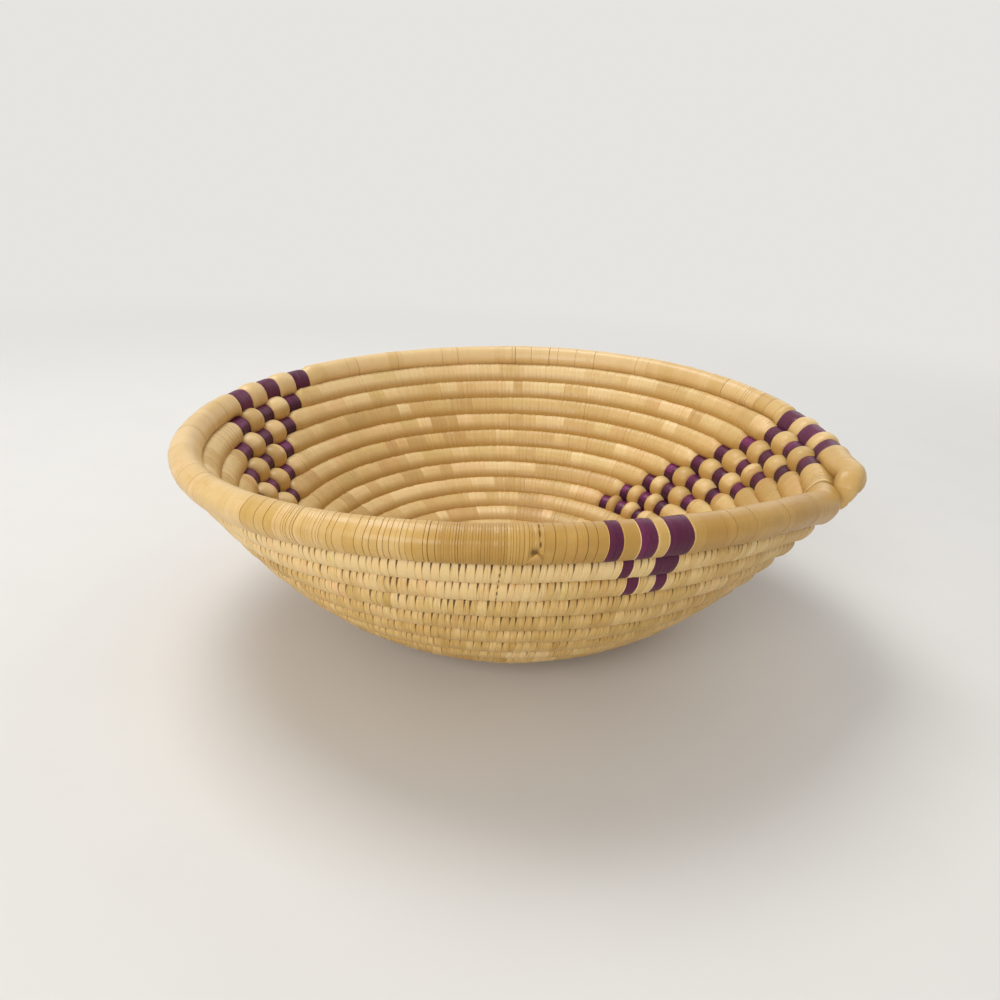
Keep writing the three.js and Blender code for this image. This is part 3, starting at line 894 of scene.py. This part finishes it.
# The routes that several pieces follow, and the dyed wraps on each
WALL, RIM = wall_route(), rim_route()
WALL_DYED = wraps_on(WALL, range(1, WALL_TURNS), 0, JOINT_TURN)
RIM_DYED = wraps_on(RIM, [0], WALL_TURNS, WALL_TURNS + 1)


# Materials
def add_node(tree, kind, settings=None, links=None):
    """Adds a node, sets its values and sockets, and links its sockets to others. A node given as a
    link stands for its first output."""
    node = tree.nodes.new("ShaderNode" + kind)
    for key, value in (settings or {}).items():
        if isinstance(key, str) and hasattr(node, key):
            setattr(node, key, value)
        else:
            node.inputs[key].default_value = value
    for key, source in (links or {}).items():
        tree.links.new(source.outputs[0] if hasattr(source, "outputs") else source, node.inputs[key])
    return node


def new_material(name):
    """An empty material and its node tree"""
    material = bpy.data.materials.new(name)
    material.use_nodes = True
    material.node_tree.nodes.clear()
    return material, material.node_tree


def fill_ramp(node, stops):
    """Sets a ramp's stops from (place, linear colour) pairs"""
    ramp = node.color_ramp
    while len(ramp.elements) > 1:
        ramp.elements.remove(ramp.elements[-1])
    ramp.elements[0].position, ramp.elements[0].color = stops[0][0], (*stops[0][1], 1)
    for place, value in stops[1:]:
        ramp.elements.new(place).color = (*value, 1)


def tinted(value, shares):
    """A colour with each of its channels times a share"""
    return tuple(min(1, c * share) for c, share in zip(value, shares))


def straw_material(name, base, worn, dark, roughness, fibre_contrast, gloss, wax, low, high, inner_share):
    """Split straw strips laid flat: waxy skin with fine fibres along each strip, so it is satin with a
    streaked gloss. Tone and warmth change from splint to splint, and gaps, slits and necks get painted
    shade with the brown of the bundle's core."""
    material, tree = new_material(name)
    weave = add_node(tree, "Attribute", {"attribute_name": "weave"})
    parts = add_node(tree, "SeparateColor", links={"Color": weave})
    place = add_node(tree, "UVMap", {"uv_map": "straw"})
    round_row = add_node(tree, "SeparateXYZ", links={"Vector": place}).outputs["Y"]
    # Fibres are about 0.4 mm apart and a few mm long, and run round the coil
    fibre_place = add_node(tree, "Mapping", {"Scale": (2.2, 0.16, 1.0)}, {"Vector": place})
    fibres = add_node(tree, "TexNoise", {"noise_dimensions": "2D", "Scale": 1.0, "Detail": 3.0,
                                         "Roughness": 0.65}, {"Vector": fibre_place})
    # Stains and sun bleaching are about 9 mm across
    stain_place = add_node(tree, "Mapping", {"Scale": (0.11, 0.16, 1.0)}, {"Vector": place})
    stains = add_node(tree, "TexNoise", {"noise_dimensions": "2D", "Scale": 1.0, "Detail": 4.0},
                      {"Vector": stain_place})
    # The half of each row that faces into the bowl is rubbed smooth
    contrast = add_node(tree, "MapRange", {
        "From Min": INNER_HALF[0], "From Max": INNER_HALF[1], "To Min": fibre_contrast,
        "To Max": INNER_CONTRAST * fibre_contrast}, {"Value": round_row})
    centred = add_node(tree, "Math", {"operation": "SUBTRACT", 1: 0.5}, {0: fibres})
    streak = add_node(tree, "Math", {"operation": "MULTIPLY"}, {0: centred, 1: contrast})
    stain = add_node(tree, "Math", {"operation": "MULTIPLY_ADD", 1: 0.5, 2: -0.25}, {0: stains})
    tone = add_node(tree, "Math", {"operation": "ADD"}, {0: parts.outputs["Red"], 1: streak})
    tone = add_node(tree, "Math", {"operation": "ADD", "use_clamp": True}, {0: tone, 1: stain})
    tones = add_node(tree, "ValToRGB", links={"Fac": tone})
    fill_ramp(tones, [(0.0, tinted(base, low)), (0.5, tuple(base)), (1.0, tinted(base, high))])
    warmths = add_node(tree, "ValToRGB", links={"Fac": parts.outputs["Green"]})
    fill_ramp(warmths, [(0.0, (0.96, 1.0, 0.87)), (0.35, (1.0, 1.0, 1.0)), (0.65, (1.0, 0.98, 0.93)),
                        (1.0, (1.02, 0.93, 0.93))])
    skin_colour = add_node(tree, "Mix", {"data_type": "RGBA", "blend_type": "MULTIPLY", 0: 1.0},
                           {6: tones, 7: warmths}).outputs[2]
    # Painted light: the half of each row that faces into the bowl is painted paler and less yellow, for
    # light that bounces about in the bowl, and for bleaching of the straw there
    round_share = add_node(tree, "Math", {"operation": "MULTIPLY", 1: 1 / GIRTH}, {0: round_row})
    inner = add_node(tree, "ValToRGB", links={"Fac": round_share})
    fill_ramp(inner, [(0.0, (0, 0, 0)), (0.5, (0, 0, 0)), (0.6, (inner_share,) * 3),
                      (0.9, (inner_share,) * 3), (1.0, (0, 0, 0))])
    # Ochre stain with painted shade in the creases, and painted shade on the lower inner part of each row
    wear_share = add_node(tree, "Math", {"operation": "MULTIPLY", 1: 0.8}, {0: weave.outputs["Alpha"]})
    # The last of these mixes paints shade into gaps, slits and necks, with the brown of the bundle's core
    for tint, share in ((INNER_STRAW, inner), (worn, wear_share), (dark, parts.outputs["Blue"])):
        skin_colour = add_node(tree, "Mix", {"data_type": "RGBA", 7: (*tint, 1.0)},
                               {0: share, 6: skin_colour}).outputs[2]
    rough = add_node(tree, "MapRange", {"To Min": roughness - 0.08, "To Max": roughness + 0.1},
                     {"Value": fibres})
    bump = add_node(tree, "Bump", {"Strength": 0.35, "Distance": 0.00012}, {"Height": fibres})
    skin = add_node(tree, "BsdfPrincipled", {"IOR": 1.53, "Specular IOR Level": gloss, "Coat Weight": wax,
                                             "Coat Roughness": 0.16},
                    {"Base Color": skin_colour, "Roughness": rough, "Normal": bump})
    add_node(tree, "OutputMaterial", links={"Surface": skin})
    return material


def floor_material(name, base):
    """Matte painted board: one pale colour with a faint mottle, and white to the camera far off"""
    material, tree = new_material(name)
    place = add_node(tree, "TexCoord").outputs["Object"]
    # Mottle of the paint is about 40 mm across
    mottle = add_node(tree, "TexNoise", {"Scale": 25.0, "Detail": 2.0}, {"Vector": place})
    tones = add_node(tree, "ValToRGB", links={"Fac": mottle})
    fill_ramp(tones, [(0.3, tinted(base, (0.985,) * 3)), (0.7, tuple(base))])
    paint = add_node(tree, "BsdfPrincipled", {"Roughness": 0.9, "Specular IOR Level": 0.1},
                     {"Base Color": tones})
    # From 0.3 m to 1 m out the board fades into the backdrop, so no edge or horizon shows
    reach = add_node(tree, "VectorMath", {"operation": "LENGTH"}, {0: place}).outputs["Value"]
    fade = add_node(tree, "MapRange", {"interpolation_type": "SMOOTHSTEP", "From Min": 0.3,
                                       "From Max": 1.0}, {"Value": reach})
    seen = add_node(tree, "Math", {"operation": "MULTIPLY"}, {0: fade, 1: seen_directly(tree)})
    glow = add_node(tree, "Emission", {"Color": (*BACKDROP, 1.0), "Strength": 1.0})
    both = add_node(tree, "MixShader", links={0: seen, 1: paint, 2: glow})
    add_node(tree, "OutputMaterial", links={"Surface": both})
    return material


def seen_directly(tree):
    """A node that gives 1 for rays from the camera, or off or through glossy things, and else 0"""
    path = add_node(tree, "LightPath").outputs
    seen = add_node(tree, "Math", {"operation": "MAXIMUM"},
                    {0: path["Is Camera Ray"], 1: path["Is Glossy Ray"]})
    return add_node(tree, "Math", {"operation": "MAXIMUM"}, {0: seen, 1: path["Is Transmission Ray"]})


def finished(name, make, *values, **more):
    """The material of that name, made once"""
    return bpy.data.materials.get(name) or make(name, *values, **more)


def row_straw():
    """Sun dried straw as split for sewing: pale gold, with clear fibres and hardly any polish"""
    return finished(
        "dry straw strips", straw_material, bpy.context.scene.basket_colours.straw,
        worn=colour("#b48a44"), dark=colour("#4c3518"), roughness=0.5, fibre_contrast=1.35, gloss=0.4,
        wax=0.15, low=(0.76, 0.68, 0.5), high=(1.26, 1.4, 2.0), inner_share=0.18)


def handled_straw():
    """The same straw where hands have rubbed the fibres down: smoother, deeper in colour and waxy"""
    return finished(
        "rim straw polished by hands", straw_material, bpy.context.scene.basket_colours.rim_straw,
        worn=colour("#a07a3c"), dark=colour("#644a26"), roughness=0.42, fibre_contrast=0.35, gloss=0.3,
        wax=0.22, low=(0.76, 0.68, 0.5), high=(1.28, 1.46, 2.5), inner_share=0.18)


def dyed_straw():
    """Straw boiled in plum dye: deep in colour and even, with a faint gloss and redder where it is thin"""
    return finished(
        "plum dyed straw strips", straw_material, bpy.context.scene.basket_colours.dyed,
        worn=colour("#32122a"), dark=colour("#1c0a18"), roughness=0.42, fibre_contrast=0.6, gloss=0.2,
        wax=0.15, low=(0.6, 0.5, 0.55), high=(1.75, 1.6, 2.3), inner_share=0.0)


class BASKET_OT_wall_rows(bpy.types.Operator):
    """Winds the rows of the wall and foot, strip by strip"""
    bl_idname = "basket.wall_rows"
    bl_label = "Wall rows"

    def execute(self, context):
        settings = context.scene.basket_sizes
        rng = np.random.default_rng(WALL_SEED)
        route, wraps, zones = WALL, WALL_DYED, round_zones(WALL_DYED)
        joint = route.lengths[-1] - JOINT_REACH

        def filled_corner(length, around):
            """Straw heaped between the last of the wall and the rim's tail, which lies on it"""
            places, heights = zip(*CORNER_FILL)
            along = np.interp(length, joint + np.array(places), heights)
            off = angle_past(degrees_round(around), CORNER_FILL_ANGLE)
            return along[:, None] * np.exp(-(off / CORNER_FILL_SPAN) ** 2)[None, :]

        run = StrawRun(route, rng, WALL_SIDES, settings, False, wall_lean(settings, zones),
                       bleached(route, BLEACHED_ROWS, ROW_BLEACH), zones, filled_corner)
        shape = gap_shape(run.around)
        # A stitched seam shows as a dotted line down the two rows below the rim: open gaps, darkened with
        # painted shade
        seams = [route.length_to(angle, row) for angle, row in SEAMS]
        dotted = np.where((np.arange(WALL_SIDES) % 2 == 1) & (run.around < math.pi), 0.9, 0)

        def pale_edge(start, end):
            """A pale strip along the edge of a dyed wrap"""
            run.strips(np.array([start, end]), np.zeros(2), shape, tone=0.3)

        def stretch(start, end, before, after, bead):
            """The straw between two dyed wraps"""
            if bead and not is_front(before):
                run.bead(start, end)
                return
            if is_front(before):
                pale_edge(start, start + ROW_PALE_EDGE)
                start += ROW_PALE_EDGE
            edge = ROW_PALE_EDGE if is_front(after) else 0
            last = min(end - edge, joint)
            bounds = strip_bounds(start, last, settings.strip_width / MM, rng, 0.18)
            turns = np.interp(bounds, route.lengths, route.turns)
            depths = gap_depths(bounds, rng, ROW_GAPS) * np.interp(turns, *zip(*GAP_RISE))
            shapes = np.tile(shape, (len(bounds), 1))
            for seam in seams:
                if start < seam < last:
                    nearest = np.argmin(np.abs(bounds - seam))
                    bounds[nearest], depths[nearest], shapes[nearest] = seam, 1, dotted
            swell = pinch_ends(start, end, before, after)
            run.strips(bounds, depths, shapes, swell, width=0.38, jitter=0.1)
            if edge:
                pale_edge(end - edge, end)
            if end > joint:
                bounds = strip_bounds(joint, end, JOINT_STRIP, rng, 0.1)
                run.strips(bounds, gap_depths(bounds, rng, 1.0, 0.2), even_gap(run.around) * 1.4)

        wind_straw(run, wraps, 0.0, route.lengths[-1], stretch)
        run.plain([route.lengths[-1]], [-0.6])
        for piece in cut_pieces("wall_rows", *run.rings(), 6):
            dress(piece, row_straw(), "straw", "wall_coil")
        return {"FINISHED"}


class BASKET_OT_start_knot(bpy.types.Operator):
    """Winds the first tight turns at the middle of the foot"""
    bl_idname = "basket.start_knot"
    bl_label = "Start knot"

    def execute(self, context):
        settings = context.scene.basket_sizes
        rng = np.random.default_rng(KNOT_SEED)
        route = knot_route()
        run = StrawRun(route, rng, KNOT_SIDES, settings, False, np.zeros_like, np.zeros_like)
        bounds = strip_bounds(0.0, route.lengths[-1], KNOT_STRIP, rng)
        run.strips(bounds, gap_depths(bounds, rng, 0.4), even_gap(run.around))
        run.plain([route.lengths[-1]], [0.0])
        piece = make_mesh("knot_turns", *run.rings())
        dress(piece, row_straw(), "straw", "start_knot")
        return {"FINISHED"}


class BASKET_OT_rim(bpy.types.Operator):
    """Winds the thick rim with its fine wraps, its rounded start and its tail"""
    bl_idname = "basket.rim"
    bl_label = "Rim"

    def execute(self, context):
        settings = context.scene.basket_sizes
        rng = np.random.default_rng(RIM_SEED)
        route, wraps = RIM, RIM_DYED

        def domed_start(length, around):
            """The rim's rounded start, fuller than the rim behind it"""
            rise = np.sqrt(1 - (1 - np.clip(length / DOME_LENGTH, 0, 1)) ** 2)
            swell = START_SWELL * np.interp(length, *zip(*START_SWELL_REACH))
            return (DOME_DEPTH * rise - DOME_DEPTH + swell)[:, None]

        run = StrawRun(route, rng, RIM_SIDES, settings, True, rim_lean(route),
                       bleached(route, 0, RIM_BLEACH), round_zones(wraps), domed_start)
        shape = even_gap(run.around)
        kinds = [START_STRAW]
        for first, last, width, *kind in FRONT_STRAW:
            kinds.append((route.length_to(first, 0), route.length_to(last, 0),
                          width or settings.fine_width / MM, *kind))

        def lay(start, end, swell, width=3.0, spread=0.5, share=0.25, opened=0.9, tone=0.0):
            """Wraps of one kind side by side"""
            if end - start > 0.1:
                bounds = strip_bounds(start, end, width, rng, spread)
                depths = gap_depths(bounds, rng, opened, 0.35) * (rng.random(len(bounds)) < share)
                run.strips(bounds, depths, shape, swell, width=0.2, crown=0.02, uneven=0.02, jitter=0.05,
                           tone=tone, lip=0.03)

        def pale_edge(start, end):
            """A pale strip along the edge of a dyed wrap"""
            lay(start, end, None, width=1, spread=0, share=0, opened=0, tone=0.45)

        def stretch(start, end, before, after, bead):
            """The straw between two dyed wraps"""
            if bead and not is_front(before):
                run.bead(start, end)
                return
            if after is None:
                # Past the last dyed wrap a bead runs out into the tail, which has pale wide strips
                run.bead(start, start + 9, 0.27)
                bounds = strip_bounds(start + 8, end, TAIL_STRIP, rng)
                run.strips(bounds, np.zeros(len(bounds)), shape, tone=0.3)
                return
            swell = pinch_ends(start, end, before, after)
            place = start + RIM_PALE_EDGE * is_front(before)
            stop = end - RIM_PALE_EDGE * is_front(after)
            pale_edge(start, place)
            for low, high, *kind in kinds:
                low, high = max(low, place), min(high, stop)
                if high > low:
                    lay(place, low, swell)
                    lay(low, high, swell, *kind)
                    place = high
            lay(place, stop, swell)
            pale_edge(stop, end)

        run.scars = [(route.length_to(angle, 0), *scar) for angle, *scar in SCARS]
        run.plain([0.0, 0.05], [-1.5, 0])
        wind_straw(run, wraps, 0.1, route.lengths[-1], stretch)
        run.plain([route.lengths[-1]], [-1.0])
        for piece in cut_pieces("rim", *run.rings(), 1):
            dress(piece, handled_straw(), "rim_straw", "rim_coil")
        return {"FINISHED"}


class BASKET_OT_splice(bpy.types.Operator):
    """Folds the end of a splint over at the foot of the rim's splice"""
    bl_idname = "basket.splice"
    bl_label = "Splice"

    def execute(self, context):
        length = RIM.length_to(SPLINT_END_ANGLE, 0)
        spots = RIM.points(np.array([length, length + 1, length]), np.radians([88, 88, 98]),
                           np.full(3, 0.12), 2.45, 0)
        along = Vector(spots[1] - spots[0]).normalized()
        down = Vector(spots[2] - spots[0]).normalized()
        out = along.cross(down).normalized()
        if out.y > 0:
            out = -out
        bpy.ops.object.select_all(action="DESELECT")
        bpy.ops.mesh.primitive_cube_add(size=2)
        end = context.object
        end.name = "folded_splint_end"
        bpy.ops.object.mode_set(mode="EDIT")
        bpy.ops.mesh.select_all(action="SELECT")
        bpy.ops.mesh.subdivide(number_cuts=3)
        bpy.ops.transform.tosphere(value=0.7)
        bpy.ops.transform.resize(value=[size * MM for size in SPLINT_END])
        bpy.ops.object.mode_set(mode="OBJECT")
        for name, method, axis, key, amount in (("narrow", "TAPER", "X", "factor", -0.9),
                                                ("curl", "BEND", "Y", "angle", 0.5)):
            change = end.modifiers.new(name, "SIMPLE_DEFORM")
            change.deform_method, change.deform_axis = method, axis
            setattr(change, key, amount)
            bpy.ops.object.modifier_apply(modifier=name)
        bpy.ops.object.shade_smooth_by_angle(angle=math.radians(50))
        long_way = (along + down).normalized()
        end.matrix_world = (Matrix.Translation(Vector(spots[0]) * MM)
                            @ Matrix((long_way, out.cross(long_way), out)).transposed().to_4x4())
        bpy.ops.object.transform_apply(location=True, rotation=True, scale=True)
        tint = end.data.attributes.new("weave", "FLOAT_COLOR", "POINT")
        tint.data.foreach_set("color", SPLINT_END_TINT * len(end.data.vertices))
        end.data.uv_layers[0].name = "straw"
        dress(end, handled_straw(), "rim_straw")
        return {"FINISHED"}


class BASKET_OT_dyed_wraps(bpy.types.Operator):
    """Wraps the dyed strips of the three groups, each in its neck"""
    bl_idname = "basket.dyed_wraps"
    bl_label = "Dyed wraps"

    def execute(self, context):
        settings = context.scene.basket_sizes
        rng = np.random.default_rng(DYED_SEED)
        on_the_wall = (WALL, WALL_SIDES, wall_lean(settings, round_zones(WALL_DYED)))
        on_the_rim = (RIM, RIM_SIDES, rim_lean(RIM))
        for start, end, wrap in WALL_DYED + RIM_DYED:
            on_rim, front = wrap["row"] == 0, is_front(wrap)
            start, end = start + WRAP_CLEARANCE, end - WRAP_CLEARANCE
            coil, sides, lean = on_the_rim if on_rim else on_the_wall
            zones = () if front else [(start, end)]
            run = StrawRun(coil, rng, sides, settings, on_rim, lean, np.zeros_like, zones)
            sink, edge = 0.0, 0.04
            if not front:
                sink, edge = settings.dyed_sink / MM * (0.6 if on_rim else 1), 0.25

            def lift(length, start=start, end=end, sink=sink, edge=edge):
                """A dyed wrap lies deepest at its edges"""
                off = np.abs((length - start) / (end - start) * 2 - 1)
                return -sink - edge * off ** 4

            bounds = strip_bounds(start, end, DYED_STRIP, rng, 0.1)
            run.strips(bounds, gap_depths(bounds, rng, 0.2), even_gap(run.around), lift, width=0.16,
                       crown=0.02, uneven=0.02, tone=-0.1 if front else 0.45)
            inner = -sink - edge - settings.wrap_thickness / MM
            # The inner face of the wrap is painted fully in shade
            run.plain([end, (start + end) / 2, start], [inner] * 3, 1.0)
            piece = make_mesh(wrap["name"].replace("dyed_wrap", "dyed_strips"), *run.rings(), looped=True)
            dress(piece, dyed_straw(), "dyed_straw", wrap["name"])
        return {"FINISHED"}


class BASKET_OT_stage(bpy.types.Operator):
    """Lays the floor, hangs the lamps and sets the camera"""
    bl_idname = "basket.stage"
    bl_label = "Stage"

    def execute(self, context):
        scene = context.scene
        reach = scene.basket_sizes.floor_reach
        bpy.ops.object.select_all(action="DESELECT")
        bpy.ops.mesh.primitive_plane_add(size=2 * reach, location=(0, 0, 0))
        floor = context.object
        floor.name = "floor"
        floor.data.materials.append(
            finished("matte painted board", floor_material, scene.basket_colours.floor))
        floor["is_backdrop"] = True
        for name, place, size, power in LAMPS:
            lamp = bpy.data.lights.new(name, "AREA")
            lamp.energy, lamp.size = power, size
            lamp_object = bpy.data.objects.new(name, lamp)
            scene.collection.objects.link(lamp_object)
            facing = (Vector(LAMP_AIM) - Vector(place)).to_track_quat("-Z", "Y")
            lamp_object.matrix_world = Matrix.Translation(place) @ facing.to_matrix().to_4x4()
        world = bpy.data.worlds.new("studio")
        world.use_nodes = True
        tree = world.node_tree
        tree.nodes.clear()
        glow = add_node(tree, "Background", {"Color": (1.0, 1.0, 1.0, 1.0), "Strength": WORLD_STRENGTH})
        white = add_node(tree, "Background", {"Color": (*BACKDROP, 1.0), "Strength": 1.0})
        both = add_node(tree, "MixShader", links={0: seen_directly(tree), 1: glow, 2: white})
        add_node(tree, "OutputWorld", links={"Surface": both})
        scene.world = world
        camera = bpy.data.cameras.new("camera")
        camera.sensor_width, camera.lens = 36, CAMERA_LENS
        camera.clip_start, camera.clip_end = 0.01, 50
        down, lean = math.radians(CAMERA_DOWN), math.radians(CAMERA_LEAN)
        right, up = Vector((1, 0, 0)), Vector((0, math.sin(down), math.cos(down)))
        ahead = Vector((0, math.cos(down), -math.sin(down)))
        tilted_right = right * math.cos(lean) + up * math.sin(lean)
        tilted_up = up * math.cos(lean) - right * math.sin(lean)
        facing = Matrix((tilted_right, tilted_up, -ahead)).transposed().to_4x4()
        viewer = bpy.data.objects.new("camera", camera)
        scene.collection.objects.link(viewer)
        viewer.matrix_world = Matrix.Translation(CAMERA_PLACE) @ facing
        scene.camera = viewer
        scene.view_settings.view_transform = "Standard"
        return {"FINISHED"}


class BASKET_PT_panel(bpy.types.Panel):
    """Lists the basket's operators, sizes and colours"""
    bl_idname = "BASKET_PT_panel"
    bl_label = "Coiled straw basket"
    bl_space_type = "VIEW_3D"
    bl_region_type = "UI"
    bl_category = "Basket"

    def draw(self, context):
        for operator in OPERATORS:
            self.layout.operator(operator.bl_idname)
        for group in (context.scene.basket_sizes, context.scene.basket_colours):
            for key in group.__annotations__:
                self.layout.prop(group, key)


OPERATORS = (BASKET_OT_stage, BASKET_OT_wall_rows, BASKET_OT_start_knot, BASKET_OT_rim,
             BASKET_OT_splice, BASKET_OT_dyed_wraps)
CLASSES = (BasketSizes, BasketColours, *OPERATORS, BASKET_PT_panel)


def register():
    for cls in CLASSES:
        bpy.utils.register_class(cls)
    bpy.types.Scene.basket_sizes = bpy.props.PointerProperty(type=BasketSizes)
    bpy.types.Scene.basket_colours = bpy.props.PointerProperty(type=BasketColours)


def unregister():
    del bpy.types.Scene.basket_sizes, bpy.types.Scene.basket_colours
    for cls in reversed(CLASSES):
        bpy.utils.unregister_class(cls)


def main():
    register()
    bpy.ops.basket.stage()
    bpy.ops.basket.wall_rows()
    bpy.ops.basket.start_knot()
    bpy.ops.basket.rim()
    bpy.ops.basket.splice()
    bpy.ops.basket.dyed_wraps()
    sizes = {name: [list(corner) for corner in box]
             for name, box in (("cad", CAD_BOX), ("visual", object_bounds()))}


if __name__ == "__main__":
    main()
